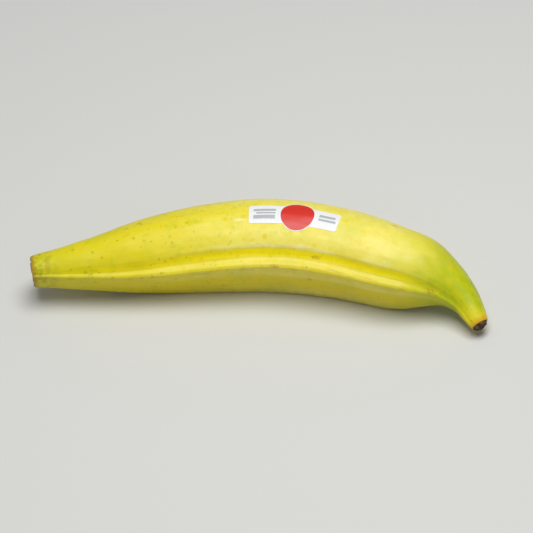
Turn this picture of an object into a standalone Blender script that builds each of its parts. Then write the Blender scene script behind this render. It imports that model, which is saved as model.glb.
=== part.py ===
"""A plantain lying on its side, as cut from its hand, with the paper label stuck on its peel.

Metres, +Z up. +X runs along the fruit, from the cut stem to the flower end, and -Y is the inner side of its
bend. The origin is on the surface that the fruit rests on, under the middle of its bounding box.

The peel is modelled straight along +X, ring by ring, and then bent along its middle line, the way the fruit
bends as it grows. Angles round the fruit start at the inner side of the bend and go up over the top, in
degrees.
"""

import math

import bmesh
import bpy
from mathutils import Vector

# Driving dimensions
FRUIT_LENGTH = 0.2735  # along the middle line, from the cut to the flower end
FRUIT_RADIUS = 0.0255  # of the body where it is thickest
REST_SINK = 0.0003  # how far the peel gives under the fruit's own weight

LABEL_LENGTH = 0.0510
LABEL_WIDTH = 0.0145
LABEL_OVAL_LENGTH = 0.0200
LABEL_OVAL_WIDTH = 0.0225
LABEL_OVAL_SHIFT = 0.0018  # from the label's middle to the oval's, towards the flower end
LABEL_CORNER = 0.0015
LABEL_THICKNESS = 0.00025
LABEL_GAP = 0.0003  # between the paper and the peel
LABEL_ALONG = 0.5522  # share of the fruit's length at the label's middle
LABEL_ANGLE = 81.5  # angle round the fruit at the label's middle

# The middle line, from the cut stem to the flower end: x, y and height. Only its shape counts, because
# settle() moves it over the origin. The fruit lies on its longest face, and its flower end droops.
MIDDLE_LINE = (
    (-0.1240, -0.0437, -0.0030),
    (-0.0890, -0.0306, -0.0026),
    (-0.0550, -0.0164, -0.0019),
    (-0.0200, -0.0052, -0.0005),
    (0.0120, 0.0010, 0.0000),
    (0.0420, 0.0013, -0.0006),
    (0.0720, -0.0028, -0.0020),
    (0.0983, -0.0075, -0.0037),
    (0.1155, -0.0147, -0.0081),
    (0.1306, -0.0295, -0.0164),
)

# The outline across the fruit: angle, and share of the radius. The five ridges stand out over 1, and the
# face between the two lowest is the flat one that the fruit lies on.
SECTION = (
    (2, 1.000),
    (9, 1.075),
    (14, 1.135),
    (18, 1.120),
    (22, 1.010),
    (27, 0.958),
    (33, 0.960),
    (39, 0.985),
    (50, 0.992),
    (71, 1.005),
    (92, 1.020),
    (116, 0.990),
    (140, 0.985),
    (154, 0.990),
    (165, 1.065),
    (176, 0.990),
    (200, 0.965),
    (223, 0.995),
    (234, 1.110),
    (245, 0.990),
    (258, 0.925),
    (271, 0.908),
    (284, 0.930),
    (294, 0.990),
    (304, 1.105),
    (315, 1.000),
    (334, 0.960),
    (352, 0.970),
)

# Rings of the peel: share of the length, share of the radius, and how much of the outline's relief shows.
RINGS = (
    (0.000, 0.346, 0.85),
    (0.006, 0.366, 1.00),
    (0.031, 0.395, 1.15),
    (0.072, 0.475, 1.20),
    (0.124, 0.580, 1.15),
    (0.181, 0.710, 1.10),
    (0.243, 0.830, 1.05),
    (0.315, 0.930, 1.00),
    (0.398, 0.995, 1.00),
    (0.486, 1.020, 1.00),
    (0.574, 1.010, 1.00),
    (0.656, 0.975, 1.00),
    (0.728, 0.935, 1.00),
    (0.785, 0.880, 1.00),
    (0.826, 0.785, 0.95),
    (0.860, 0.610, 0.85),
    (0.892, 0.450, 0.75),
    (0.927, 0.335, 0.65),
    (0.959, 0.275, 0.55),
    (0.984, 0.232, 0.45),
    (0.993, 0.203, 0.35),
)

# How far the outline is turned round the fruit: share of the length, and degrees.
TWIST = (
    (0.00, 3.0),
    (0.07, -1.5),
    (0.12, -4.0),
    (0.18, -5.5),
    (0.25, -5.5),
    (0.32, -3.5),
    (0.40, -1.5),
    (0.48, 0.0),
    (0.78, 0.0),
    (0.83, -2.0),
    (0.87, -5.0),
    (0.90, -5.0),
    (1.00, 0.0),
)

# The stem was cut from the hand: the peel's rim, then the drier flesh inside it, which has shrunk back. Each
# is a share of the length and a share of the radius, from the rim to the middle.
STEM_CUT = ((-0.0022, 0.322), (0.0010, 0.270), (0.0028, 0.140))
STEM_CUT_RELIEF = 0.8

# The dried end of the flower is a button inside the peel's lip.
FLOWER_BUTTON = ((0.9940, 0.158), (0.9985, 0.136), (1.0010, 0.075))
FLOWER_BUTTON_RELIEF = 0.3

LABEL_WING_COLUMNS = 11  # on each side of the oval
LABEL_OVAL_COLUMNS = 14
LABEL_ROWS = 8
LABEL_CLEARANCE = 1.3  # share of the radius that the label is laid down from

LINE_STEPS = 64  # of the middle line, between each two of its points

PEEL_COLOUR = (0.80, 0.71, 0.07, 1.0)
PEEL_ROUGHNESS = 0.42
PAPER_COLOUR = (0.90, 0.90, 0.88, 1.0)
PAPER_ROUGHNESS = 0.38


def clear_scene():
    for obj in list(bpy.data.objects):
        bpy.data.objects.remove(obj)


def add_object(name, data):
    obj = bpy.data.objects.new(name, data)
    bpy.context.scene.collection.objects.link(obj)
    return obj


def add_guide(name, data):
    """An object that shapes others and is no part of the fruit."""
    guide = add_object(name, data)
    guide.hide_render = True
    guide.display_type = "WIRE"
    return guide


def material(name, colour, roughness):
    made = bpy.data.materials.new(name)
    made.use_nodes = True
    shader = made.node_tree.nodes["Principled BSDF"]
    shader.inputs["Base Color"].default_value = colour
    shader.inputs["Roughness"].default_value = roughness
    shader.inputs["Metallic"].default_value = 0.0
    return made


def round_point(along, angle, reach):
    """A point of the straight fruit: how far along it is, its angle, and how far out from the middle."""
    turn = math.radians(angle)
    return Vector((along, -reach * math.cos(turn), reach * math.sin(turn)))


def turn_at(length_share):
    """How far the outline is turned round the fruit at a share of its length, in degrees."""
    for (near, near_turn), (far, far_turn) in zip(TWIST, TWIST[1:]):
        if length_share <= far:
            part = max(0, (length_share - near) / (far - near))
            return near_turn + (far_turn - near_turn) * part
    return TWIST[-1][1]


def ring_points(length_share, radius_share, relief):
    turn = turn_at(length_share)
    points = []
    for angle, share in SECTION:
        reach = radius_share * FRUIT_RADIUS * (1 + (share - 1) * relief)
        points.append(round_point(length_share * FRUIT_LENGTH, angle + turn, reach))
    return points


def bridge_rows(made, rows, closed):
    """Faces between each row of vertices and the next."""
    for near, far in zip(rows, rows[1:]):
        for i in range(len(near) if closed else len(near) - 1):
            j = (i + 1) % len(near)
            made.faces.new((near[i], near[j], far[j], far[i]))


def finish_mesh(made, name):
    bmesh.ops.recalc_face_normals(made, faces=made.faces)
    mesh = bpy.data.meshes.new(name)
    made.to_mesh(mesh)
    made.free()
    mesh.shade_smooth()
    return mesh


def straight_peel():
    """The peel before it is bent: rings from the cut stem to the flower end, closed at both."""
    rings = [(along, width, STEM_CUT_RELIEF) for along, width in reversed(STEM_CUT)]
    rings += RINGS
    rings += [(along, width, FLOWER_BUTTON_RELIEF) for along, width in FLOWER_BUTTON]
    made = bmesh.new()
    rows = [[made.verts.new(point) for point in ring_points(*ring)] for ring in rings]
    bridge_rows(made, rows, closed=True)
    made.faces.new(rows[0])
    made.faces.new(rows[-1])
    return finish_mesh(made, "plantain")


def middle_line():
    """The curve that the straight fruit is bent along."""
    curve = bpy.data.curves.new("middle_line", "CURVE")
    curve.dimensions = "3D"
    curve.twist_mode = "Z_UP"
    curve.resolution_u = LINE_STEPS
    spline = curve.splines.new("BEZIER")
    spline.bezier_points.add(len(MIDDLE_LINE) - 1)
    for point, place in zip(spline.bezier_points, MIDDLE_LINE):
        point.co = place
        point.handle_left_type = point.handle_right_type = "AUTO"
    return add_guide("middle_line", curve)


def bend_along(obj, line):
    bend = obj.modifiers.new("bend", "CURVE")
    bend.object = line
    bend.deform_axis = "POS_X"


def plantain(line):
    fruit = add_object("plantain", straight_peel())
    fruit.data.materials.append(material("peel", PEEL_COLOUR, PEEL_ROUGHNESS))
    smooth = fruit.modifiers.new("smooth", "SUBSURF")
    smooth.levels = smooth.render_levels = 1
    bend_along(fruit, line)
    return fruit


def settle(fruit, line):
    """Moves the middle line so that the fruit lies over the origin, sunk by REST_SINK into the surface."""
    bpy.context.view_layer.update()
    evaluated = fruit.evaluated_get(bpy.context.evaluated_depsgraph_get())
    corners = [Vector(corner) for corner in evaluated.bound_box]
    low = Vector([min(corner[axis] for corner in corners) for axis in range(3)])
    high = Vector([max(corner[axis] for corner in corners) for axis in range(3)])
    shift = Vector((-(low.x + high.x) / 2, -(low.y + high.y) / 2, -REST_SINK - low.z))
    for point in line.data.splines[0].bezier_points:
        for handle in ("co", "handle_left", "handle_right"):
            setattr(point, handle, getattr(point, handle) + shift)


def flatten_on_rest(fruit):
    """Takes off what is sunk into the surface, which leaves the small flat that the fruit lies on."""
    block = bmesh.new()
    bmesh.ops.create_cube(block, size=2 * FRUIT_LENGTH)
    bmesh.ops.translate(block, verts=block.verts, vec=(0, 0, -FRUIT_LENGTH))
    mesh = bpy.data.meshes.new("rest_cutter")
    block.to_mesh(mesh)
    block.free()
    flat = fruit.modifiers.new("flat", "BOOLEAN")
    flat.object = add_guide("rest_cutter", mesh)
    flat.operation = "DIFFERENCE"


def label_columns():
    """Each column of the label as (distance along from its middle, half its width there)."""
    half_length, half_width = LABEL_LENGTH / 2, LABEL_WIDTH / 2
    oval_long, oval_wide = LABEL_OVAL_LENGTH / 2, LABEL_OVAL_WIDTH / 2
    meeting = math.asin(half_width / oval_wide)  # where the oval's edge leaves the straight edge
    wing_end = oval_long * math.cos(meeting)
    wings = []
    for side in (1, -1):
        inner_end = wing_end + side * LABEL_OVAL_SHIFT
        wing = []
        for i in range(LABEL_WING_COLUMNS):
            along = half_length - (half_length - inner_end) * i / LABEL_WING_COLUMNS
            into_corner = max(0.0, LABEL_CORNER - (half_length - along))
            trim = LABEL_CORNER - math.sqrt(LABEL_CORNER**2 - into_corner**2)
            wing.append((side * along, half_width - trim))
        wings.append(wing)
    oval = []
    for i in range(LABEL_OVAL_COLUMNS + 1):
        angle = meeting + (math.pi - 2 * meeting) * i / LABEL_OVAL_COLUMNS
        oval.append((LABEL_OVAL_SHIFT + oval_long * math.cos(angle), oval_wide * math.sin(angle)))
    return wings[0] + oval + wings[1][::-1]


def label(fruit, line):
    made = bmesh.new()
    rows = []
    for along, half_width in label_columns():
        row = []
        for i in range(LABEL_ROWS + 1):
            across = half_width * (2 * i / LABEL_ROWS - 1)
            angle = LABEL_ANGLE + math.degrees(across / FRUIT_RADIUS)
            place = LABEL_ALONG * FRUIT_LENGTH + along
            row.append(made.verts.new(round_point(place, angle, FRUIT_RADIUS * LABEL_CLEARANCE)))
        rows.append(row)
    bridge_rows(made, rows, closed=False)
    sheet = add_object("label", finish_mesh(made, "label"))
    sheet.data.materials.append(material("label_paper", PAPER_COLOUR, PAPER_ROUGHNESS))
    bend_along(sheet, line)
    lay = sheet.modifiers.new("lay", "SHRINKWRAP")
    lay.target = fruit
    lay.wrap_method = "NEAREST_SURFACEPOINT"
    lay.wrap_mode = "ABOVE_SURFACE"
    lay.offset = LABEL_GAP
    paper = sheet.modifiers.new("paper", "SOLIDIFY")
    paper.thickness = LABEL_THICKNESS
    paper.offset = 1


def main():
    clear_scene()
    line = middle_line()
    fruit = plantain(line)
    settle(fruit, line)
    flatten_on_rest(fruit)
    label(fruit, line)


main()
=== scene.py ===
"""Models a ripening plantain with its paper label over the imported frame, and sets up a plain studio round it.

Metres, +Z up. The fruit is modelled straight along +X from its cut stem to its flower end, and is then bent
along its middle line. Angles round the fruit start at the inner side of the bend and go up over the top, in
degrees.
"""

import math
from contextlib import contextmanager

import bmesh
import bpy
import numpy as np
from bpy.props import FloatProperty, FloatVectorProperty, IntProperty, PointerProperty
from mathutils import Matrix, Vector


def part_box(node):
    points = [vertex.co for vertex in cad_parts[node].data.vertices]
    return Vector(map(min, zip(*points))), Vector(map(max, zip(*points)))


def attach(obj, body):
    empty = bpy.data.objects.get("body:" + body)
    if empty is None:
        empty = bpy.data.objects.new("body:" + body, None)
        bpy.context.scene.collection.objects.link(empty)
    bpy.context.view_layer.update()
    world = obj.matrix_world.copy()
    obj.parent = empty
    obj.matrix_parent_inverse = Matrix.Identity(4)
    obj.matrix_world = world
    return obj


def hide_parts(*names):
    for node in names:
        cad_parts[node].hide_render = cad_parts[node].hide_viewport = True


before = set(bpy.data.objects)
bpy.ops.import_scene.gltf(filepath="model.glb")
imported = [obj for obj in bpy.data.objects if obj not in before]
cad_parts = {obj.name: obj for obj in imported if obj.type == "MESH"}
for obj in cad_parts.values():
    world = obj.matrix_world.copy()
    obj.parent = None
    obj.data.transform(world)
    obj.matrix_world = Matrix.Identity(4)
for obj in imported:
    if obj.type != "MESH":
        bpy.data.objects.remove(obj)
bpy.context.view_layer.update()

bl_info = {
    "name": "Plantain",
    "version": (1, 0, 0),
    "blender": (4, 5, 0),
    "location": "View3D > Sidebar > Plantain",
    "description": "Models a ripening plantain with its paper label, and a plain studio round it",
    "category": "Object",
}

FRUIT_LOW, FRUIT_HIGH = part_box("plantain")

MM = 0.001
NEAR = 1e-6  # two places closer than this are the same
ANGLE_NEAR = 0.1  # two angles closer than this are the same, in degrees

FRUIT_LENGTH = 0.2735  # along the middle line, from the cut to the flower end
FRUIT_RADIUS = 0.0255  # of the body where it is thickest
REST_SINK = 0.0003  # how far the peel gives under the fruit's own weight

# The middle line, from the cut stem to the flower end: x, y and height, before the fruit is settled.
MIDDLE_LINE = (
    (-0.1240, -0.0437, -0.0030),
    (-0.0890, -0.0306, -0.0026),
    (-0.0550, -0.0164, -0.0019),
    (-0.0200, -0.0052, -0.0005),
    (0.0120, 0.0010, 0.0000),
    (0.0420, 0.0013, -0.0006),
    (0.0720, -0.0028, -0.0020),
    (0.0983, -0.0075, -0.0037),
    (0.1155, -0.0147, -0.0081),
    (0.1306, -0.0295, -0.0164),
)
LINE_STEPS = 64  # of the middle line, between each two of its points

# The outline across the fruit: angle, and share of the radius. The five ridges stand out over 1.
SECTION = (
    (2, 1.000),
    (9, 1.075),
    (14, 1.135),
    (18, 1.120),
    (22, 1.010),
    (27, 0.958),
    (33, 0.960),
    (39, 0.985),
    (50, 0.992),
    (71, 1.005),
    (92, 1.020),
    (116, 0.990),
    (140, 0.985),
    (154, 0.990),
    (165, 1.065),
    (176, 0.990),
    (200, 0.965),
    (223, 0.995),
    (234, 1.110),
    (245, 0.990),
    (258, 0.925),
    (271, 0.908),
    (284, 0.930),
    (294, 0.990),
    (304, 1.105),
    (315, 1.000),
    (334, 0.960),
    (352, 0.970),
)
RIDGE_SHARE = 1.03  # a column of the outline over this is on a ridge high enough to be rubbed
HOLLOW_SHARE = 0.975  # a column of the outline under this is in a hollow

# How sharp the peel's edge stays along some columns of the outline, from 0 to 1, as (angle, sharpness).
EDGES = (
    (14, 0.55),
    (18, 0.20),
    (22, 0.30),
    (39, 0.35),
    (165, 0.35),
    (234, 0.50),
    (304, 0.55),
)

# Rings: share of the length, share of the radius, and how much of the outline's relief shows there.
STEM_CUT = (
    (0.0030, 0.060, 0.6),
    (0.0026, 0.170, 0.7),
    (0.0010, 0.270, 0.8),
    (-0.0022, 0.308, 0.8),
)
PEEL = (
    (0.000, 0.338, 0.75),
    (0.006, 0.364, 0.80),
    (0.031, 0.395, 0.80),
    (0.072, 0.475, 0.80),
    (0.124, 0.580, 0.85),
    (0.181, 0.710, 0.90),
    (0.243, 0.830, 0.95),
    (0.315, 0.930, 1.00),
    (0.398, 0.995, 1.00),
    (0.486, 1.020, 1.00),
    (0.574, 1.010, 1.00),
    (0.656, 0.975, 1.00),
    (0.728, 0.935, 1.00),
    (0.785, 0.880, 1.00),
    (0.826, 0.785, 0.95),
    (0.860, 0.610, 0.85),
    (0.892, 0.450, 0.75),
    (0.927, 0.335, 0.65),
    (0.959, 0.275, 0.55),
    (0.984, 0.232, 0.45),
    (0.993, 0.203, 0.35),
)
FLOWER_BUTTON = (
    (0.9940, 0.158, 0.3),
    (0.9985, 0.136, 0.3),
    (1.0010, 0.075, 0.3),
)
RINGS = STEM_CUT + PEEL + FLOWER_BUTTON

# How far the outline is turned round the fruit: share of the length, and degrees.
TWIST = (
    (0.00, 3.0),
    (0.07, -1.5),
    (0.12, -4.0),
    (0.18, -5.5),
    (0.25, -5.5),
    (0.32, -3.5),
    (0.40, -1.5),
    (0.48, 0.0),
    (0.78, 0.0),
    (0.83, -2.0),
    (0.87, -5.0),
    (0.90, -5.0),
    (1.00, 0.0),
)

CREST_ANGLES = (12, 24)  # the columns between these are on the crest of the main ridge
GROOVE_ANGLES = (24, 36)  # the columns between these are in the groove beside the main ridge
GROOVE_FULL = 0.34  # share of the length from which the groove has its whole depth, from none at the stem
LIP_ANGLE = 39  # of the edge over the groove

# How far apart the hills and hollows of the peel's surface are.
SWELL_SIZE = 0.030
DENT_SIZE = 0.010
CRUMB_SIZES = {"cut": 0.0022, "flower": 0.0026}  # at the two rough ends
RIB_SIZE = 0.0045
RIB_STRETCH = 18  # how many times longer the ribs are than they are wide

PEEL_ROUGHNESS = 0.34  # of the waxy peel, where nothing makes it rougher
SCUFF_ALONG = 0.437  # share of the fruit's length at the middle of the pale scuff beside the label
SCUFF_ANGLE = 74
SCUFF_LENGTH = 0.010
SCUFF_WIDTH = 0.0022

# How pale and how green the peel is along the fruit, as (share of the length, strength). The paleness is partly
# the ripe peel's own colour and partly a painted sheen of the overhead light.
PALE_STOPS = (
    (0.00, 0.00),
    (0.20, 0.08),
    (0.38, 0.40),
    (0.54, 0.85),
    (0.74, 0.85),
    (0.83, 0.50),
    (0.90, 0.00),
)
GREEN_STOPS = (
    (0.00, 0.30),
    (0.10, 0.12),
    (0.30, 0.05),
    (0.72, 0.03),
    (0.81, 0.22),
    (0.88, 0.66),
    (0.94, 0.80),
    (0.98, 0.25),
)

LABEL_ALONG = 0.5522  # share of the fruit's length at the label's middle
LABEL_ANGLE = 81.5  # angle round the fruit at the label's middle
LABEL_OVAL_SHIFT = 0.0018  # from the label's middle to the oval's, towards the flower end
LABEL_CORNER = 0.0015
LABEL_MARGIN = 0.0004  # of bare paper round the printed oval
# Plain printed bars on the wings: middle along, middle across, half length, half width.
LABEL_BARS = (
    (-0.0168, 0.0028, 0.0062, 0.0009),
    (-0.0160, 0.0003, 0.0054, 0.0007),
    (-0.0168, -0.0026, 0.0062, 0.0013),
    (0.0186, 0.0020, 0.0046, 0.0010),
    (0.0190, -0.0010, 0.0050, 0.0009),
)
BAR_SOFTNESS = 0.05 * MM  # how far the edge of a bar fades to each side
LABEL_WING_COLUMNS = 30  # on each side of the oval
LABEL_WING_CROWDING = 1.3  # over 1, these columns lie closer together towards the label's ends
LABEL_OVAL_COLUMNS = 32
LABEL_ROWS = 28
LABEL_CLEARANCE = 1.1  # share of the fruit's radius that the curled label is laid down from
LABEL_GAP = 0.00005  # between the paper and the peel
LABEL_SMOOTH_ANGLE = math.radians(40)  # the paper is shaded smooth over an edge flatter than this
PAPER_ROUGHNESS = 0.38

FLOOR_SIZE = 6
FLOOR_ROUGHNESS = 0.75
# Each softbox: its place, and its width and height.
OVERHEAD_BOX = ((0.15, -0.10, 1.35), (1.0, 0.7))
FRONT_BOX = ((0.9, -1.3, 1.1), (0.9, 0.9))
CAMERA_AIM = (0.0018, -0.0015, 0.018)
SENSOR_WIDTH = 36  # in millimetres


def screen(red, green, blue):
    """A colour as it shows on a screen, 0 to 255, as the light that it gives back."""
    shares = [value / 255 for value in (red, green, blue)]
    return [share / 12.92 if share <= 0.04045 else ((share + 0.055) / 1.055) ** 2.4 for share in shares]


class FruitSettings(bpy.types.PropertyGroup):
    smoothness: IntProperty(
        name="Smoothness",
        description="How many times the modelled peel is subdivided",
        default=3,
        min=1,
        max=3,
    )
    waviness: FloatProperty(
        name="Waviness",
        description="How far the peel swells and sinks along the fruit",
        default=0.9 * MM,
        min=0,
        max=3 * MM,
        unit="LENGTH",
    )
    ribbing: FloatProperty(
        name="Ribbing",
        description="Height of the faint ribs that run along the peel",
        default=0.4 * MM,
        min=0,
        max=2 * MM,
        unit="LENGTH",
    )
    dents: FloatProperty(
        name="Dents",
        description="Depth of the small dents in the peel",
        default=0.35 * MM,
        min=0,
        max=2 * MM,
        unit="LENGTH",
    )
    roughening: FloatProperty(
        name="Roughening",
        description="Roughness of the stem's cut and of the dried flower",
        default=1.4 * MM,
        min=0,
        max=3 * MM,
        unit="LENGTH",
    )
    body_colour: FloatVectorProperty(
        name="Body",
        description="Colour of the ripening body",
        subtype="COLOR",
        default=screen(238, 223, 26),
    )
    # Partly the ripe peel's pale colour, partly a painted sheen of the overhead light.
    pale_and_sheen_colour: FloatVectorProperty(
        name="Pale",
        description="Colour of the palest streaks",
        subtype="COLOR",
        default=screen(247, 235, 126),
    )
    # Also painted on the crest of the main ridge towards the flower end as painted shade.
    deep_colour: FloatVectorProperty(
        name="Deep",
        description="Colour of the deepest yellow",
        subtype="COLOR",
        default=screen(230, 209, 0),
    )
    # Brighter than the body: partly the groove's own golden yellow, partly painted light that lifts the shade
    # in the groove.
    groove_colour: FloatVectorProperty(
        name="Groove",
        description="Colour of the groove beside the main ridge",
        subtype="COLOR",
        default=screen(251, 230, 8),
    )
    green_colour: FloatVectorProperty(
        name="Green",
        description="Colour of what is still unripe",
        subtype="COLOR",
        default=screen(158, 184, 0),
    )
    olive_colour: FloatVectorProperty(
        name="Olive",
        description="Colour of the small unripe dots",
        subtype="COLOR",
        default=screen(140, 146, 18),
    )
    stem_colour: FloatVectorProperty(
        name="Stem",
        description="Colour of the peel at the stem",
        subtype="COLOR",
        default=screen(224, 216, 44),
    )
    scar_colour: FloatVectorProperty(
        name="Scars",
        description="Colour of specks and scars",
        subtype="COLOR",
        default=screen(104, 70, 32),
    )
    bruise_colour: FloatVectorProperty(
        name="Bruises",
        description="Colour of bruises and rubbed ridges",
        subtype="COLOR",
        default=screen(172, 126, 44),
    )
    # Real pale wear for the scuff and the flecks, and also the painted highlight along the lip.
    worn_and_highlight_colour: FloatVectorProperty(
        name="Worn",
        description="Colour of the edges that light wear has paled",
        subtype="COLOR",
        default=screen(247, 238, 176),
    )
    ring_colour: FloatVectorProperty(
        name="Ring",
        description="Colour of the ring round the dried flower",
        subtype="COLOR",
        default=screen(224, 166, 26),
    )
    cut_colour: FloatVectorProperty(
        name="Cut",
        description="Colour of the stem's dried cut",
        subtype="COLOR",
        default=screen(164, 134, 88),
    )
    flower_colour: FloatVectorProperty(
        name="Flower",
        description="Colour of the dried rest of the flower",
        subtype="COLOR",
        default=screen(52, 38, 27),
    )


class LabelSettings(bpy.types.PropertyGroup):
    length: FloatProperty(
        name="Length",
        description="Length of the label",
        default=51 * MM,
        min=20 * MM,
        max=80 * MM,
        unit="LENGTH",
    )
    width: FloatProperty(
        name="Width",
        description="Width of the wings",
        default=14.5 * MM,
        min=5 * MM,
        max=30 * MM,
        unit="LENGTH",
    )
    oval_length: FloatProperty(
        name="Oval length",
        description="Length of the oval",
        default=20.0 * MM,
        min=5 * MM,
        max=40 * MM,
        unit="LENGTH",
    )
    oval_width: FloatProperty(
        name="Oval width",
        description="Width of the oval",
        default=22.5 * MM,
        min=5 * MM,
        max=40 * MM,
        unit="LENGTH",
    )
    thickness: FloatProperty(
        name="Thickness",
        description="Thickness of the paper",
        default=0.12 * MM,
        min=0.05 * MM,
        max=MM,
        unit="LENGTH",
    )
    paper_colour: FloatVectorProperty(
        name="Paper",
        description="Colour of the coated paper",
        subtype="COLOR",
        default=screen(238, 240, 240),
    )
    oval_colour: FloatVectorProperty(
        name="Oval",
        description="Colour printed on the oval",
        subtype="COLOR",
        default=screen(214, 44, 30),
    )
    bar_colour: FloatVectorProperty(
        name="Bars",
        description="Colour of the plain bars on the wings",
        subtype="COLOR",
        default=screen(150, 156, 158),
    )


class StudioSettings(bpy.types.PropertyGroup):
    floor_colour: FloatVectorProperty(
        name="Floor",
        description="Colour of the floor",
        subtype="COLOR",
        default=screen(212, 212, 209),
    )
    azimuth: FloatProperty(
        name="Azimuth",
        description="Turn of the camera round the fruit",
        subtype="ANGLE",
        default=math.radians(16.8),
    )
    elevation: FloatProperty(
        name="Elevation",
        description="How steeply the camera looks down",
        subtype="ANGLE",
        default=math.radians(41.9),
    )
    roll: FloatProperty(
        name="Roll",
        description="Turn of the camera about its line of sight",
        subtype="ANGLE",
        default=math.radians(-4.4),
    )
    distance: FloatProperty(
        name="Distance",
        description="From the camera to the fruit",
        default=1.487,
        min=0.5,
        max=5,
        unit="LENGTH",
    )
    lens: FloatProperty(
        name="Lens",
        description="Focal length of the camera",
        default=178,
        min=20,
        max=300,
        unit="CAMERA",
    )
    overhead_power: FloatProperty(
        name="Overhead light",
        description="Power of the overhead softbox",
        default=17.0,
        min=0,
        unit="POWER",
    )
    front_power: FloatProperty(
        name="Front light",
        description="Power of the softbox in front",
        default=1.5,
        min=0,
        unit="POWER",
    )
    sky: FloatProperty(
        name="Sky",
        description="Strength of the even light from all sides",
        default=0.20,
        min=0,
        max=2,
    )


# Steps of modelling by hand


def add_object(name, data):
    obj = bpy.data.objects.new(name, data)
    bpy.context.scene.collection.objects.link(obj)
    return obj


def deselect_objects():
    for obj in bpy.context.selected_objects:
        obj.select_set(False)


def choose(*objects):
    """Selects these objects and nothing else, and makes the last one active."""
    deselect_objects()
    for obj in objects:
        obj.select_set(True)
    bpy.context.view_layer.objects.active = objects[-1]


@contextmanager
def edit_mode():
    """Has the active object in edit mode for a block of steps."""
    bpy.ops.object.mode_set(mode="EDIT")
    yield
    bpy.ops.object.mode_set(mode="OBJECT")


def pick(test):
    """In edit mode, selects the vertices whose place passes a test, and nothing else."""
    bpy.ops.mesh.select_all(action="DESELECT")
    mesh = bpy.context.object.data
    made = bmesh.from_edit_mesh(mesh)
    for vertex in made.verts:
        vertex.select_set(test(vertex.co))
    if not any(vertex.select for vertex in made.verts):
        raise RuntimeError("no vertex is where one was to be picked")
    made.select_flush(True)
    bmesh.update_edit_mesh(mesh)


def apply_modifier(obj, kind, **settings):
    """Adds a modifier with these settings and applies it."""
    choose(obj)
    modifier = obj.modifiers.new(kind.lower(), kind)
    for name, value in settings.items():
        setattr(modifier, name, value)
    bpy.ops.object.modifier_apply(modifier=modifier.name)


def places(obj):
    """The places of a mesh's vertices, one row for each."""
    found = np.empty(len(obj.data.vertices) * 3, dtype=np.float32)
    obj.data.vertices.foreach_get("co", found)
    return found.reshape(-1, 3)


def remember_places(obj, name):
    """Keeps where each vertex is now as an attribute, for the patterns that follow the surface."""
    kept = obj.data.attributes.new(name, "FLOAT_VECTOR", "POINT")
    kept.data.foreach_set("vector", places(obj).ravel())


def remember_test(obj, name, test):
    """Keeps whether each vertex's place passes a test as an attribute, 1 or 0."""
    kept = obj.data.attributes.new(name, "FLOAT", "POINT")
    for entry, vertex in zip(kept.data, obj.data.vertices):
        entry.value = float(test(vertex.co))


def group_by_value(obj, name):
    """Makes a vertex group whose weights are the values of an attribute."""
    group = obj.vertex_groups.new(name=name)
    for i, entry in enumerate(obj.data.attributes[name].data):
        if entry.value > 0:
            group.add([i], entry.value, "REPLACE")


def angle_of(place):
    """The angle round the straight fruit, from the inner side of the bend up over the top, 0 to 360."""
    return math.degrees(math.atan2(place.z, -place.y)) % 360


def on_column(place, angle):
    """Whether a place is on the column of the straight fruit at this angle."""
    gap = (angle_of(place) - angle + 180) % 360 - 180
    return abs(gap) < ANGLE_NEAR


def on_ring(place, along):
    """Whether a place is on the ring at this share of the straight fruit's length."""
    return abs(place.x - along * FRUIT_LENGTH) < NEAR


def turn_selected(angle):
    """In edit mode, turns what is selected round the straight fruit's middle, by an angle in degrees."""
    bpy.ops.transform.rotate(value=math.radians(angle), orient_axis="X", center_override=(0, 0, 0))


def widen_selected(grow):
    """In edit mode, scales what is selected out from the straight fruit's middle, and not along it."""
    bpy.ops.transform.resize(value=(1, grow, grow), center_override=(0, 0, 0))


def face_outwards():
    """In edit mode, makes all faces point outwards."""
    bpy.ops.mesh.select_all(action="SELECT")
    bpy.ops.mesh.normals_make_consistent(inside=False)


# The fruit


def add_first_ring():
    """A circle with a vertex for each column of the outline, standing across +X, the first at angle 0."""
    along, width, _ = RINGS[0]
    bpy.ops.mesh.primitive_circle_add(
        vertices=len(SECTION),
        radius=width * FRUIT_RADIUS,
        location=(along * FRUIT_LENGTH, 0, 0),
        rotation=(math.pi, math.pi / 2, 0),
    )
    fruit = bpy.context.object
    fruit.name = fruit.data.name = "plantain_fruit"
    bpy.ops.object.transform_apply(location=True, rotation=True, scale=True)
    return fruit


def draw_out_rings():
    """Draws the circle out along +X, from each ring to the next."""
    bpy.ops.mesh.select_all(action="SELECT")
    for (along, width, _), (next_along, next_width, _) in zip(RINGS, RINGS[1:]):
        step = (next_along - along) * FRUIT_LENGTH
        bpy.ops.mesh.extrude_region_move(TRANSFORM_OT_translate={"value": (step, 0, 0)})
        widen_selected(next_width / width)


def close_ends():
    for along, _, _ in (RINGS[0], RINGS[-1]):
        pick(lambda place: on_ring(place, along))
        bpy.ops.mesh.edge_face_add()


def shape_outline():
    """Turns each column of the round tube to its angle, and pushes it to the outline at each ring.

    The last column is turned first, so that none is turned onto one that is still to be picked.
    """
    for i, (angle, share) in reversed(list(enumerate(SECTION))):
        round_angle = 360 * i / len(SECTION)
        pick(lambda place: on_column(place, round_angle))
        turn_selected(angle - round_angle)
        in_groove = GROOVE_ANGLES[0] < angle < GROOVE_ANGLES[1]
        for along, _, relief in RINGS:
            depth = min(max(along, 0) / GROOVE_FULL, 1) if in_groove else 1
            pick(lambda place: on_ring(place, along) and on_column(place, angle))
            widen_selected(1 + (share - 1) * relief * depth)


def sharpen_edges():
    for angle, sharpness in EDGES:
        pick(lambda place: on_column(place, angle))
        bpy.ops.transform.edge_crease(value=sharpness)


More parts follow.
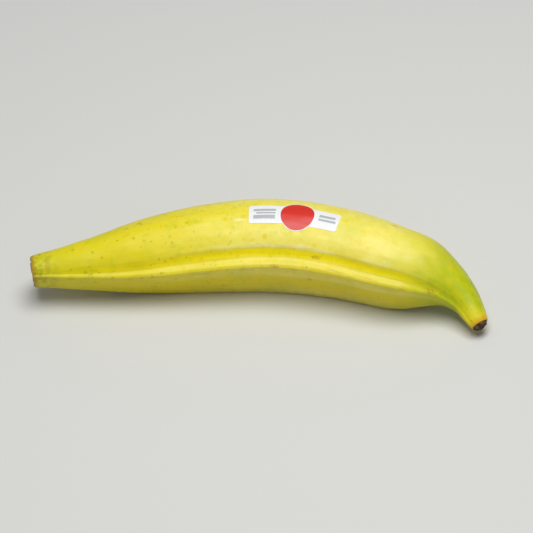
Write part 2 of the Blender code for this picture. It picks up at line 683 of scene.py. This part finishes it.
def twist_outline():
    """Turns the outline round the fruit, a little more or less at each ring."""
    shares, turns = zip(*TWIST)
    for along, _, _ in RINGS:
        pick(lambda place: on_ring(place, along))
        turn_selected(np.interp(along, shares, turns))


def on_columns(wanted):
    """A test of whether a place is on a column of the outline whose share is a wanted one."""
    angles = [angle for angle, share in SECTION if wanted(share)]
    return lambda place: any(on_column(place, angle) for angle in angles)


def between_angles(low, high):
    """A test of whether a place is between two angles round the straight fruit."""
    return lambda place: low < angle_of(place) < high


def on_rings(rings):
    """A test of whether a place is on one of these rings."""
    return lambda place: any(on_ring(place, along) for along, _, _ in rings)


def mark_parts(fruit):
    """Keeps what each vertex is on, for the colours and the rough ends, while its angle is still its own."""
    remember_test(fruit, "ridge", on_columns(lambda share: share > RIDGE_SHARE))
    remember_test(fruit, "hollow", on_columns(lambda share: share < HOLLOW_SHARE))
    remember_test(fruit, "crest", between_angles(*CREST_ANGLES))
    remember_test(fruit, "groove", between_angles(*GROOVE_ANGLES))
    remember_test(fruit, "lip", lambda place: on_column(place, LIP_ANGLE))
    remember_test(fruit, "cut", on_rings(STEM_CUT))
    remember_test(fruit, "flower", on_rings(FLOWER_BUTTON))


def model_straight_fruit():
    """The fruit before it is smoothed and bent: its rings and columns, marked and then twisted."""
    deselect_objects()
    fruit = add_first_ring()
    with edit_mode():
        draw_out_rings()
        close_ends()
        shape_outline()
        sharpen_edges()
        face_outwards()
    mark_parts(fruit)
    with edit_mode():
        twist_outline()
    return fruit


def displace(obj, name, size, strength, **settings):
    """Pushes a surface in and out by a soft noise, whose hills are about this far apart."""
    noise = bpy.data.textures.new(name, "CLOUDS")
    noise.noise_scale = size
    noise.noise_depth = 2
    apply_modifier(obj, "DISPLACE", texture=noise, strength=strength, mid_level=0.5, **settings)


def add_ribs(fruit, height):
    """Adds the faint ribs: a noise that an empty, scaled along X, draws out along the fruit."""
    deselect_objects()
    bpy.ops.object.empty_add()
    guide = bpy.context.object
    guide.scale = (RIB_STRETCH, 1, 1)
    bpy.context.view_layer.update()
    displace(fruit, "ribs", RIB_SIZE, height, texture_coords="OBJECT", texture_coords_object=guide)
    bpy.data.objects.remove(guide)


def add_surface(fruit, settings):
    """Smooths the modelled peel, and gives it its slow swells, small dents, rough ends and faint ribs."""
    level = settings.smoothness
    apply_modifier(fruit, "SUBSURF", levels=level, render_levels=level)
    remember_places(fruit, "straight")
    displace(fruit, "swells", SWELL_SIZE, settings.waviness)
    displace(fruit, "dents", DENT_SIZE, settings.dents)
    for end, size in CRUMB_SIZES.items():
        group_by_value(fruit, end)
        displace(fruit, end, size, settings.roughening, vertex_group=end)
    add_ribs(fruit, settings.ribbing)


def add_middle_line():
    """The guide that the straight fruit and its label are bent along."""
    curve = bpy.data.curves.new("middle_line", "CURVE")
    curve.dimensions = "3D"
    curve.twist_mode = "Z_UP"
    curve.resolution_u = LINE_STEPS
    spline = curve.splines.new("BEZIER")
    spline.bezier_points.add(len(MIDDLE_LINE) - 1)
    for point, place in zip(spline.bezier_points, MIDDLE_LINE):
        point.co = place
        point.handle_left_type = point.handle_right_type = "AUTO"
    return add_object("middle_line", curve)


def settle(fruit, guide):
    """Moves the bent fruit, with its guide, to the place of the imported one, sunk a little where it rests."""
    found = places(fruit)
    middle = (found.min(axis=0) + found.max(axis=0)) / 2
    wanted = (FRUIT_LOW + FRUIT_HIGH) / 2
    shift = (wanted.x - middle[0], wanted.y - middle[1], -REST_SINK - found[:, 2].min())
    choose(guide, fruit)
    bpy.ops.transform.translate(value=shift)
    bpy.ops.object.transform_apply(location=True, rotation=False, scale=False)


def press_flat(fruit):
    """Presses what is sunk into the surface flat, where the fruit lies on it."""
    choose(fruit)
    with edit_mode():
        pick(lambda place: place.z < 0)
        bpy.ops.transform.resize(value=(1, 1, 0), center_override=(0, 0, 0))


class PLANTAIN_OT_fruit(bpy.types.Operator):
    """Model the plantain, bend it, lay it on its place and give it its peel"""

    bl_idname = "plantain.model_fruit"
    bl_label = "Model fruit"
    bl_options = {"REGISTER", "UNDO"}

    def execute(self, context):
        settings = context.scene.plantain_fruit
        fruit = model_straight_fruit()
        add_surface(fruit, settings)
        guide = add_middle_line()
        apply_modifier(fruit, "CURVE", object=guide, deform_axis="POS_X")
        settle(fruit, guide)
        press_flat(fruit)
        bpy.ops.object.shade_smooth()
        fruit.data.materials.append(peel_material(settings))
        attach(fruit, "root")
        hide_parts("plantain")
        return {"FINISHED"}


# The label


def label_columns(settings):
    """Each column of the label, from end to end, as (distance from its middle, half its width there)."""
    half_length, half_width = settings.length / 2, settings.width / 2
    oval_long, oval_wide = settings.oval_length / 2, settings.oval_width / 2
    meeting = math.asin(half_width / oval_wide)  # where the oval's edge leaves the straight edge
    wing_end = oval_long * math.cos(meeting)
    wings = []
    for side in (-1, 1):
        inner_end = wing_end + side * LABEL_OVAL_SHIFT
        wing = []
        for i in range(LABEL_WING_COLUMNS):
            along = half_length - (half_length - inner_end) * (i / LABEL_WING_COLUMNS) ** LABEL_WING_CROWDING
            into_corner = max(0.0, LABEL_CORNER - (half_length - along))
            trim = LABEL_CORNER - math.sqrt(LABEL_CORNER**2 - into_corner**2)
            wing.append((side * along, half_width - trim))
        wings.append(wing)
    oval = []
    for i in range(LABEL_OVAL_COLUMNS + 1):
        angle = meeting + (math.pi - 2 * meeting) * i / LABEL_OVAL_COLUMNS
        oval.append((LABEL_OVAL_SHIFT - oval_long * math.cos(angle), oval_wide * math.sin(angle)))
    return wings[0] + oval + wings[1][::-1]


def model_flat_label(settings):
    """The label as a flat sheet standing in the XZ plane, drawn out column by column."""
    columns = label_columns(settings)
    deselect_objects()
    bpy.ops.mesh.primitive_grid_add(
        x_subdivisions=1,
        y_subdivisions=LABEL_ROWS,
        size=1,
        rotation=(math.pi / 2, 0, 0),
    )
    label = bpy.context.object
    label.name = label.data.name = "paper_label"
    bpy.ops.object.transform_apply(location=True, rotation=True, scale=True)
    with edit_mode():
        for side, (along, half_width) in zip((-0.5, 0.5), columns):
            pick(lambda place: abs(place.x - side) < NEAR)
            bpy.ops.transform.resize(value=(1, 1, 2 * half_width), center_override=(0, 0, 0))
            bpy.ops.transform.translate(value=(along - side, 0, 0))
        for (along, half_width), (next_along, next_half_width) in zip(columns[1:], columns[2:]):
            bpy.ops.mesh.extrude_region_move(TRANSFORM_OT_translate={"value": (next_along - along, 0, 0)})
            bpy.ops.transform.resize(value=(1, 1, next_half_width / half_width), center_override=(0, 0, 0))
    return label


def curl_round_fruit(label, settings):
    """Curls the flat sheet round the straight fruit, at its place along it and its angle round it."""
    curl = settings.oval_width / FRUIT_RADIUS
    apply_modifier(label, "SIMPLE_DEFORM", deform_method="BEND", deform_axis="X", angle=curl)
    bpy.ops.transform.translate(value=(LABEL_ALONG * FRUIT_LENGTH, -FRUIT_RADIUS * LABEL_CLEARANCE, 0))
    bpy.ops.object.transform_apply(location=True, rotation=False, scale=False)
    with edit_mode():
        bpy.ops.mesh.select_all(action="SELECT")
        turn_selected(LABEL_ANGLE)


def lay_on_peel(label, settings):
    """Bends the sheet with the fruit, lays it on the peel and gives the paper its thickness."""
    apply_modifier(label, "CURVE", object=bpy.data.objects["middle_line"], deform_axis="POS_X")
    apply_modifier(
        label,
        "SHRINKWRAP",
        target=bpy.data.objects["plantain_fruit"],
        wrap_method="NEAREST_SURFACEPOINT",
        wrap_mode="ABOVE_SURFACE",
        offset=LABEL_GAP,
    )
    with edit_mode():
        face_outwards()
    apply_modifier(label, "SOLIDIFY", thickness=settings.thickness, offset=1)


class PLANTAIN_OT_label(bpy.types.Operator):
    """Model the paper label and lay it on the peel"""

    bl_idname = "plantain.model_label"
    bl_label = "Model label"
    bl_options = {"REGISTER", "UNDO"}

    def execute(self, context):
        settings = context.scene.plantain_label
        label = model_flat_label(settings)
        remember_places(label, "flat")
        curl_round_fruit(label, settings)
        lay_on_peel(label, settings)
        bpy.data.objects.remove(bpy.data.objects["middle_line"])
        bpy.ops.object.shade_smooth_by_angle(angle=LABEL_SMOOTH_ANGLE)
        label.data.materials.append(paper_material(settings))
        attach(label, "root")
        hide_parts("label")
        return {"FINISHED"}


# Building materials from nodes


def feed(tree, node, sockets):
    """Links each of these inputs of a node to an output, or sets it to a value."""
    for socket, value in sockets.items():
        if isinstance(value, bpy.types.NodeSocket):
            tree.links.new(value, node.inputs[socket])
        else:
            node.inputs[socket].default_value = value


def add_node(tree, kind, sockets=None, **settings):
    """Adds a node with these settings, and feeds its inputs."""
    node = tree.nodes.new("ShaderNode" + kind)
    for name, value in settings.items():
        setattr(node, name, value)
    feed(tree, node, sockets or {})
    return node


def calculate(tree, operation, *values, clamp=False):
    """The number that a step of arithmetic gives."""
    return add_node(tree, "Math", dict(enumerate(values)), operation=operation, use_clamp=clamp).outputs[0]


def times(tree, one, other):
    return calculate(tree, "MULTIPLY", one, other)


def combine(tree, operation, sockets):
    """The vector that a step of vector arithmetic gives."""
    return add_node(tree, "VectorMath", sockets, operation=operation).outputs[0]


def length_of(tree, vector):
    """How long a vector is, as a number."""
    return add_node(tree, "VectorMath", {0: vector}, operation="LENGTH").outputs["Value"]


def fade(tree, value, start, end, at_start=0.0, at_end=1.0):
    """Goes smoothly from one number to another while a value goes, up or down, from start to end."""
    sockets = {"Value": value, "From Min": start, "From Max": end, "To Min": at_start, "To Max": at_end}
    return add_node(tree, "MapRange", sockets, interpolation_type="SMOOTHSTEP").outputs[0]


def mix(tree, share, one, other):
    """A mix of two colours, which a Mix node takes at its inputs 6 and 7 and gives at its output 2."""
    return add_node(tree, "Mix", {0: share, 6: one, 7: other}, data_type="RGBA").outputs[2]


def opaque(colour):
    return (*colour, 1)


def paint(tree, colour, mask, strength, new_colour):
    """A colour with another one painted over it where a mask is 1, at most this strongly."""
    return mix(tree, times(tree, mask, strength), colour, opaque(new_colour))


def ramp(tree, value, stops):
    """A number that follows these (value, number) stops."""
    node = add_node(tree, "ValToRGB", {"Fac": value})
    node.color_ramp.interpolation = "EASE"
    elements = node.color_ramp.elements
    elements[0].position = stops[0][0]
    elements[-1].position = stops[-1][0]
    for position, _ in stops[1:-1]:
        elements.new(position)
    for element, (_, number) in zip(elements, stops):
        element.color = (number, number, number, 1)
    return node.outputs[0]


def attribute(tree, name, output):
    """What was kept at each vertex: its vector at the output Vector, or its number at Fac."""
    return add_node(tree, "Attribute", attribute_name=name).outputs[output]


def start_group(name, *numbers):
    """A shader node group that works out a mask from a place and these numbers.

    Returns the group, what it is given and the socket that its mask goes to.
    """
    group = bpy.data.node_groups.new(name, "ShaderNodeTree")
    group.interface.new_socket(name="Place", in_out="INPUT", socket_type="NodeSocketVector")
    for number in numbers:
        group.interface.new_socket(name=number, in_out="INPUT", socket_type="NodeSocketFloat")
    group.interface.new_socket(name="Mask", in_out="OUTPUT", socket_type="NodeSocketFloat")
    start = group.nodes.new("NodeGroupInput")
    end = group.nodes.new("NodeGroupOutput")
    return group, start.outputs, end.inputs["Mask"]


def use_group(tree, name, **sockets):
    """Places a group in a material, with its own values. It is built the first time that it is used."""
    if name not in bpy.data.node_groups:
        GROUPS[name]()
    node = tree.nodes.new("ShaderNodeGroup")
    node.node_tree = bpy.data.node_groups[name]
    feed(tree, node, sockets)
    return node.outputs[0]


def build_streaks_group():
    """Noise drawn out along X: long streaks, as many to the metre along and across as it is told."""
    group, given, mask = start_group("streaks", "Along", "Across")
    along, across = given["Along"], given["Across"]
    scale = add_node(group, "CombineXYZ", {0: along, 1: across, 2: across}).outputs[0]
    drawn = combine(group, "MULTIPLY", {0: given["Place"], 1: scale})
    noise = add_node(group, "TexNoise", {"Vector": drawn, "Scale": 1.0, "Detail": 4.0, "Roughness": 0.6})
    group.links.new(noise.outputs[0], mask)


def build_specks_group():
    """Ragged round specks: a share of the cells holds one each, of up to this size in cells."""
    group, given, mask = start_group("specks", "Cells", "Share", "Size", "Raggedness")
    scaled = combine(group, "SCALE", {0: given["Place"], "Scale": given["Cells"]})
    rough = add_node(group, "TexNoise", {"Vector": scaled, "Scale": 9.0, "Detail": 3.0}).outputs["Color"]
    centred = combine(group, "SUBTRACT", {0: rough, 1: (0.5, 0.5, 0.5)})
    shift = combine(group, "SCALE", {0: centred, "Scale": given["Raggedness"]})
    ragged = combine(group, "ADD", {0: scaled, 1: shift})
    cells = add_node(group, "TexVoronoi", {"Vector": ragged, "Scale": 1.0})
    chance = add_node(group, "SeparateColor", {0: cells.outputs["Color"]})
    radius = times(group, given["Size"], fade(group, chance.outputs[1], 0.0, 1.0, 0.35, 1.0))
    inner = times(group, radius, 0.30)
    spot = fade(group, cells.outputs["Distance"], inner, radius, 1.0, 0.0)
    held = calculate(group, "LESS_THAN", chance.outputs[0], given["Share"])
    group.links.new(times(group, spot, held), mask)


def build_patches_group():
    """Soft uneven patches that cover about the share they are told."""
    group, given, mask = start_group("patches", "Size", "Cover", "Softness")
    often = calculate(group, "DIVIDE", 1.0, given["Size"])
    sockets = {"Vector": given["Place"], "Scale": often, "Detail": 5.0, "Roughness": 0.62}
    noise = add_node(group, "TexNoise", sockets).outputs[0]
    level = fade(group, given["Cover"], 0.0, 1.0, 0.72, 0.28)
    low = calculate(group, "SUBTRACT", level, given["Softness"])
    high = calculate(group, "ADD", level, given["Softness"])
    group.links.new(fade(group, noise, low, high), mask)


GROUPS = {
    "streaks": build_streaks_group,
    "specks": build_specks_group,
    "patches": build_patches_group,
}


def start_material(name, **constants):
    """A material with these numbers set on its shader. Returns it, its tree and its shader."""
    made = bpy.data.materials.new(name)
    made.use_nodes = True
    shader = made.node_tree.nodes["Principled BSDF"]
    for socket, value in constants.items():
        shader.inputs[socket.replace("_", " ")].default_value = value
    return made, made.node_tree, shader


def add_bump(tree, shader, height):
    """Bumps the surface by a height in millimetres."""
    bump = add_node(tree, "Bump", {"Height": height, "Distance": MM, "Strength": 1.0})
    tree.links.new(bump.outputs[0], shader.inputs["Normal"])


def add_up(tree, *parts):
    """The sum of these (number socket, factor) parts."""
    total = 0.0
    for value, factor in parts:
        total = calculate(tree, "MULTIPLY_ADD", value, factor, total)
    return total


# The peel


def peel_colour_with_painted_light(tree, place, along, settings):
    """Pale yellow over the body, partly ripe and partly a painted sheen, deeper in the hollows and towards the
    stem, the groove lifted by painted light and the crest darkened by painted shade, and still green at the
    neck.
    """
    # The share of the length is made uneven, so that the colours run into each other in streaks.
    uneven = use_group(tree, "streaks", Place=place, Along=14.0, Across=60.0)
    where = calculate(tree, "MULTIPLY_ADD", calculate(tree, "SUBTRACT", uneven, 0.5), 0.16, along)
    # Painted sheen: the paleness along the middle is partly the overhead light's broad highlight, partly the
    # ripe peel's own colour.
    pale_streaks = fade(tree, use_group(tree, "streaks", Place=place, Along=9.0, Across=170.0), 0.46, 0.70)
    ripeness_and_sheen = ramp(tree, where, PALE_STOPS)
    pale = calculate(tree, "MULTIPLY", calculate(tree, "MULTIPLY_ADD", pale_streaks, 0.35, ripeness_and_sheen), 0.85, clamp=True)
    colour = mix(tree, pale, opaque(settings.body_colour), opaque(settings.pale_and_sheen_colour))
    streaks = fade(tree, use_group(tree, "streaks", Place=place, Along=6.0, Across=95.0), 0.50, 0.74)
    colour = paint(tree, colour, streaks, 0.45, settings.deep_colour)
    gold = use_group(tree, "patches", Place=place, Size=0.020, Cover=0.40, Softness=0.12)
    colour = paint(tree, colour, gold, 0.35, settings.deep_colour)
    colour = paint(tree, colour, attribute(tree, "hollow", "Fac"), 0.90, settings.deep_colour)
    # Painted light: the groove is painted brighter than the body to lift its shade. Its golden yellow is partly
    # the peel's own.
    groove = fade(tree, attribute(tree, "groove", "Fac"), 0.30, 0.95)
    colour = paint(tree, colour, groove, 0.85, settings.groove_colour)
    # Painted shade: the crest of the main ridge is darkened with deep yellow towards the flower end.
    crest = times(tree, attribute(tree, "crest", "Fac"), fade(tree, along, 0.42, 0.66))
    colour = paint(tree, colour, crest, 0.60, settings.deep_colour)
    colour = paint(tree, colour, fade(tree, where, 0.15, 0.0), 1.0, settings.stem_colour)
    colour = paint(tree, colour, fade(tree, where, 0.48, 0.16), 0.45, settings.deep_colour)
    blotches = use_group(tree, "patches", Place=place, Size=0.022, Cover=0.35, Softness=0.10)
    colour = paint(tree, colour, blotches, 0.20, settings.green_colour)
    return paint(tree, colour, ramp(tree, where, GREEN_STOPS), 1.0, settings.green_colour)


def add_lip_highlight_and_wear(tree, colour, place, along, settings):
    """Painted highlight streaks along the lip and brown rubbed wear on the ridges. Returns the colour and the
    brown ones' mask.
    """
    # Painted highlight: a pale streak along the convex lip over the groove, where the overhead light catches
    # it.
    lip = fade(tree, attribute(tree, "lip", "Fac"), 0.30, 0.95)
    streaks = fade(tree, use_group(tree, "streaks", Place=place, Along=36.0, Across=300.0), 0.44, 0.60)
    middle = times(tree, fade(tree, along, 0.36, 0.46), fade(tree, along, 0.70, 0.60))
    lip_highlight = times(tree, times(tree, lip, streaks), middle)
    colour = paint(tree, colour, lip_highlight, 0.80, settings.worn_and_highlight_colour)
    rubbed = fade(tree, use_group(tree, "streaks", Place=place, Along=45.0, Across=420.0), 0.56, 0.70)
    rubbed = times(tree, rubbed, fade(tree, attribute(tree, "ridge", "Fac"), 0.35, 0.95))
    return paint(tree, colour, rubbed, 0.55, settings.bruise_colour), rubbed


def scuff_mask(tree, place):
    """The pale scuff beside the label, broken into short scratches."""
    turn = math.radians(SCUFF_ANGLE)
    middle = (SCUFF_ALONG * FRUIT_LENGTH, -FRUIT_RADIUS * math.cos(turn), FRUIT_RADIUS * math.sin(turn))
    beside = combine(tree, "SUBTRACT", {0: place, 1: middle})
    size = (SCUFF_LENGTH / 2, SCUFF_WIDTH / 2, SCUFF_WIDTH)  # higher than it is wide, to reach the peel
    out = length_of(tree, combine(tree, "DIVIDE", {0: beside, 1: size}))
    scratches = fade(tree, use_group(tree, "streaks", Place=place, Along=330.0, Across=900.0), 0.44, 0.56)
    return times(tree, fade(tree, out, 1.1, 0.5), scratches)


def add_dots(tree, colour, place, along, settings):
    """Mottling, small deeper and unripe dots and pale flecks over a colour."""
    mottle = use_group(tree, "patches", Place=place, Size=0.0045, Cover=0.42, Softness=0.12)
    colour = paint(tree, colour, mottle, 0.38, settings.deep_colour)
    yellow_dots = use_group(tree, "specks", Place=place, Cells=190.0, Share=0.80, Size=0.42, Raggedness=0.25)
    yellow_dots = times(tree, yellow_dots, fade(tree, along, 0.90, 0.45))
    colour = paint(tree, colour, yellow_dots, 0.85, settings.deep_colour)
    unripe = use_group(tree, "patches", Place=place, Size=0.007, Cover=0.30, Softness=0.09)
    unripe = times(tree, unripe, fade(tree, along, 0.80, 0.25))
    colour = paint(tree, colour, unripe, 0.30, settings.green_colour)
    green_dots = use_group(tree, "specks", Place=place, Cells=230.0, Share=0.90, Size=0.36, Raggedness=0.30)
    green_dots = times(tree, green_dots, fade(tree, along, 0.75, 0.15))
    colour = paint(tree, colour, green_dots, 0.42, settings.olive_colour)
    flecks = use_group(tree, "specks", Place=place, Cells=130.0, Share=0.10, Size=0.16, Raggedness=0.30)
    return paint(tree, colour, flecks, 0.55, settings.worn_and_highlight_colour)


def add_marks(tree, colour, place, along, settings):
    """The scuff, scars, specks and smudges. Returns the colour, and the masks of the specks and scars."""
    colour = paint(tree, colour, scuff_mask(tree, place), 0.80, settings.worn_and_highlight_colour)
    drawn_out = combine(tree, "MULTIPLY", {0: place, 1: (0.55, 1.0, 1.0)})
    scars = use_group(tree, "specks", Place=drawn_out, Cells=72.0, Share=0.75, Size=0.24, Raggedness=0.22)
    broken = fade(tree, use_group(tree, "streaks", Place=place, Along=320.0, Across=900.0), 0.36, 0.60)
    scars = times(tree, scars, broken)
    colour = paint(tree, colour, scars, 0.70, settings.bruise_colour)
    crowd = use_group(tree, "patches", Place=place, Size=0.030, Cover=0.50, Softness=0.12)
    specks = use_group(tree, "specks", Place=drawn_out, Cells=300.0, Share=0.40, Size=0.15, Raggedness=0.12)
    specks = times(tree, specks, crowd)
    colour = paint(tree, colour, specks, 0.80, settings.scar_colour)
    smudges = use_group(tree, "patches", Place=place, Size=0.005, Cover=0.50, Softness=0.10)
    smudges = times(tree, smudges, fade(tree, along, 0.075, 0.0))
    colour = paint(tree, colour, smudges, 0.45, settings.scar_colour)
    return colour, specks, scars


def add_ends(tree, colour, place, along, settings):
    """The stem's dried cut, dark at its edge and dotted with fibres, and the dried rest of the flower."""
    across = combine(tree, "MULTIPLY", {0: place, 1: (0.0, 1.0, 1.0)})
    out = calculate(tree, "DIVIDE", length_of(tree, across), FRUIT_RADIUS)
    blots = use_group(tree, "patches", Place=place, Size=0.003, Cover=0.45, Softness=0.14)
    fibres = use_group(tree, "specks", Place=place, Cells=900.0, Share=0.70, Size=0.42, Raggedness=0.20)

    dried = calculate(tree, "MULTIPLY_ADD", blots, 0.004, along)
    colour = paint(tree, colour, fade(tree, dried, 0.011, 0.003), 0.75, settings.bruise_colour)
    flesh = paint(tree, opaque(settings.cut_colour), blots, 0.55, settings.bruise_colour)
    flesh = paint(tree, flesh, fibres, 0.60, settings.scar_colour)
    flesh = paint(tree, flesh, fade(tree, out, 0.235, 0.315), 0.85, settings.flower_colour)
    colour = mix(tree, fade(tree, attribute(tree, "cut", "Fac"), 0.25, 0.70), colour, flesh)

    ring = calculate(tree, "MULTIPLY_ADD", blots, 0.006, along)
    colour = paint(tree, colour, fade(tree, ring, 0.979, 0.995), 0.85, settings.ring_colour)
    flower = paint(tree, opaque(settings.flower_colour), blots, 0.40, settings.cut_colour)
    return mix(tree, fade(tree, attribute(tree, "flower", "Fac"), 0.05, 0.45), colour, flower)


def peel_material(settings):
    made, tree, shader = start_material(
        "peel", Specular_IOR_Level=0.30, Coat_Weight=0.05, Coat_Roughness=0.30
    )
    place = attribute(tree, "straight", "Vector")
    along = calculate(tree, "DIVIDE", add_node(tree, "SeparateXYZ", {0: place}).outputs[0], FRUIT_LENGTH)

    colour = peel_colour_with_painted_light(tree, place, along, settings)
    colour, rubbed = add_lip_highlight_and_wear(tree, colour, place, along, settings)
    colour = add_dots(tree, colour, place, along, settings)
    colour, specks, scars = add_marks(tree, colour, place, along, settings)
    colour = add_ends(tree, colour, place, along, settings)
    tree.links.new(colour, shader.inputs["Base Color"])

    fine = use_group(tree, "streaks", Place=place, Along=60.0, Across=900.0)
    grain = use_group(tree, "streaks", Place=place, Along=900.0, Across=1400.0)
    cut = attribute(tree, "cut", "Fac")
    flower = attribute(tree, "flower", "Fac")
    rough = add_up(tree, (fine, 0.16), (rubbed, 0.15), (specks, 0.15), (cut, 0.4), (flower, 0.4))
    rough = calculate(tree, "ADD", rough, PEEL_ROUGHNESS, clamp=True)
    tree.links.new(rough, shader.inputs["Roughness"])
    height = add_up(tree, (fine, 0.07), (grain, 0.035), (specks, -0.05), (scars, -0.05), (rubbed, -0.03))
    add_bump(tree, shader, height)
    return made


# The paper


def bar_mask(tree, along, across, bar):
    """1 on a plain bar given as (middle along, middle across, half length, half width), 0 off it."""
    middle_along, middle_across, half_length, half_width = bar
    beside = calculate(tree, "ABSOLUTE", calculate(tree, "SUBTRACT", along, middle_along))
    above = calculate(tree, "ABSOLUTE", calculate(tree, "SUBTRACT", across, middle_across))
    inside_length = fade(tree, beside, half_length + BAR_SOFTNESS, half_length - BAR_SOFTNESS)
    inside_width = fade(tree, above, half_width + BAR_SOFTNESS, half_width - BAR_SOFTNESS)
    return times(tree, inside_length, inside_width)


def ellipse_distance(tree, along, across, half_length, half_width):
    """How far out a place is in an ellipse: 0 at its middle and 1 on its edge."""
    long_share = calculate(tree, "DIVIDE", along, half_length)
    wide_share = calculate(tree, "DIVIDE", across, half_width)
    wide_square = times(tree, wide_share, wide_share)
    return calculate(tree, "SQRT", calculate(tree, "MULTIPLY_ADD", long_share, long_share, wide_square))


def paper_material(settings):
    made, tree, shader = start_material("label_paper", Roughness=PAPER_ROUGHNESS)
    place = attribute(tree, "flat", "Vector")
    split = add_node(tree, "SeparateXYZ", {0: place})
    along, across = split.outputs[0], split.outputs[2]
    fibres = use_group(tree, "patches", Place=place, Size=0.0012, Cover=0.45, Softness=0.15)
    colour = paint(tree, opaque(settings.paper_colour), fibres, 0.10, settings.bar_colour)
    for bar in LABEL_BARS:
        colour = paint(tree, colour, bar_mask(tree, along, across, bar), 0.75, settings.bar_colour)
    from_oval = calculate(tree, "SUBTRACT", along, LABEL_OVAL_SHIFT)
    half_length, half_width = settings.oval_length / 2, settings.oval_width / 2
    out = ellipse_distance(tree, from_oval, across, half_length - LABEL_MARGIN, half_width - LABEL_MARGIN)
    colour = paint(tree, colour, fade(tree, out, 1.0, 0.98), 1.0, settings.oval_colour)
    tree.links.new(colour, shader.inputs["Base Color"])
    add_bump(tree, shader, times(tree, fibres, 0.02))
    return made


# The studio


def add_floor(settings):
    deselect_objects()
    bpy.ops.mesh.primitive_plane_add(size=FLOOR_SIZE)
    floor = bpy.context.object
    floor.name = floor.data.name = "floor"
    colour = opaque(settings.floor_colour)
    made, _, _ = start_material("floor", Base_Color=colour, Roughness=FLOOR_ROUGHNESS)
    floor.data.materials.append(made)


def add_softbox(name, place, size, power):
    """A rectangular light of this width and height at this place, turned to the fruit."""
    data = bpy.data.lights.new(name, "AREA")
    data.shape = "RECTANGLE"
    data.size, data.size_y = size
    data.energy = power
    light = add_object(name, data)
    light.location = place
    light.rotation_euler = Vector(place).to_track_quat("Z", "Y").to_euler()


def even_sky(strength):
    world = bpy.data.worlds.new("studio")
    world.use_nodes = True
    background = world.node_tree.nodes["Background"]
    background.inputs["Color"].default_value = (1, 1, 1, 1)
    background.inputs["Strength"].default_value = strength
    return world


def add_camera(settings):
    turn, height = settings.azimuth, settings.elevation
    aim = Vector(CAMERA_AIM)
    back = Vector((math.sin(turn) * math.cos(height), -math.cos(turn) * math.cos(height), math.sin(height)))
    data = bpy.data.cameras.new("camera")
    data.sensor_width = SENSOR_WIDTH
    data.lens = settings.lens
    camera = add_object("camera", data)
    look = back.to_track_quat("Z", "Y").to_matrix() @ Matrix.Rotation(settings.roll, 3, "Z")
    camera.matrix_world = Matrix.Translation(aim + back * settings.distance) @ look.to_4x4()
    bpy.context.scene.camera = camera


class PLANTAIN_OT_studio(bpy.types.Operator):
    """Set up the pale floor, the soft lights and the camera"""

    bl_idname = "plantain.set_up_studio"
    bl_label = "Set up studio"
    bl_options = {"REGISTER", "UNDO"}

    def execute(self, context):
        settings = context.scene.plantain_studio
        add_floor(settings)
        add_softbox("overhead", *OVERHEAD_BOX, settings.overhead_power)
        add_softbox("front", *FRONT_BOX, settings.front_power)
        context.scene.world = even_sky(settings.sky)
        context.scene.view_settings.view_transform = "Standard"
        add_camera(settings)
        return {"FINISHED"}


class PLANTAIN_PT_panel(bpy.types.Panel):
    """The plantain's steps and settings"""

    bl_label = "Plantain"
    bl_idname = "PLANTAIN_PT_panel"
    bl_space_type = "VIEW_3D"
    bl_region_type = "UI"
    bl_category = "Plantain"

    def draw(self, context):
        layout = self.layout
        steps = (
            (PLANTAIN_OT_fruit, context.scene.plantain_fruit),
            (PLANTAIN_OT_label, context.scene.plantain_label),
            (PLANTAIN_OT_studio, context.scene.plantain_studio),
        )
        for operator, settings in steps:
            box = layout.box()
            for name in settings.__annotations__:
                box.prop(settings, name)
            box.operator(operator.bl_idname)


CLASSES = (
    FruitSettings,
    LabelSettings,
    StudioSettings,
    PLANTAIN_OT_fruit,
    PLANTAIN_OT_label,
    PLANTAIN_OT_studio,
    PLANTAIN_PT_panel,
)


def register():
    for cls in CLASSES:
        bpy.utils.register_class(cls)
    bpy.types.Scene.plantain_fruit = PointerProperty(type=FruitSettings)
    bpy.types.Scene.plantain_label = PointerProperty(type=LabelSettings)
    bpy.types.Scene.plantain_studio = PointerProperty(type=StudioSettings)


def unregister():
    del bpy.types.Scene.plantain_studio
    del bpy.types.Scene.plantain_label
    del bpy.types.Scene.plantain_fruit
    for cls in reversed(CLASSES):
        bpy.utils.unregister_class(cls)


def main():
    register()
    bpy.ops.plantain.model_fruit()
    bpy.ops.plantain.model_label()
    bpy.ops.plantain.set_up_studio()


if __name__ == "__main__":
    main()
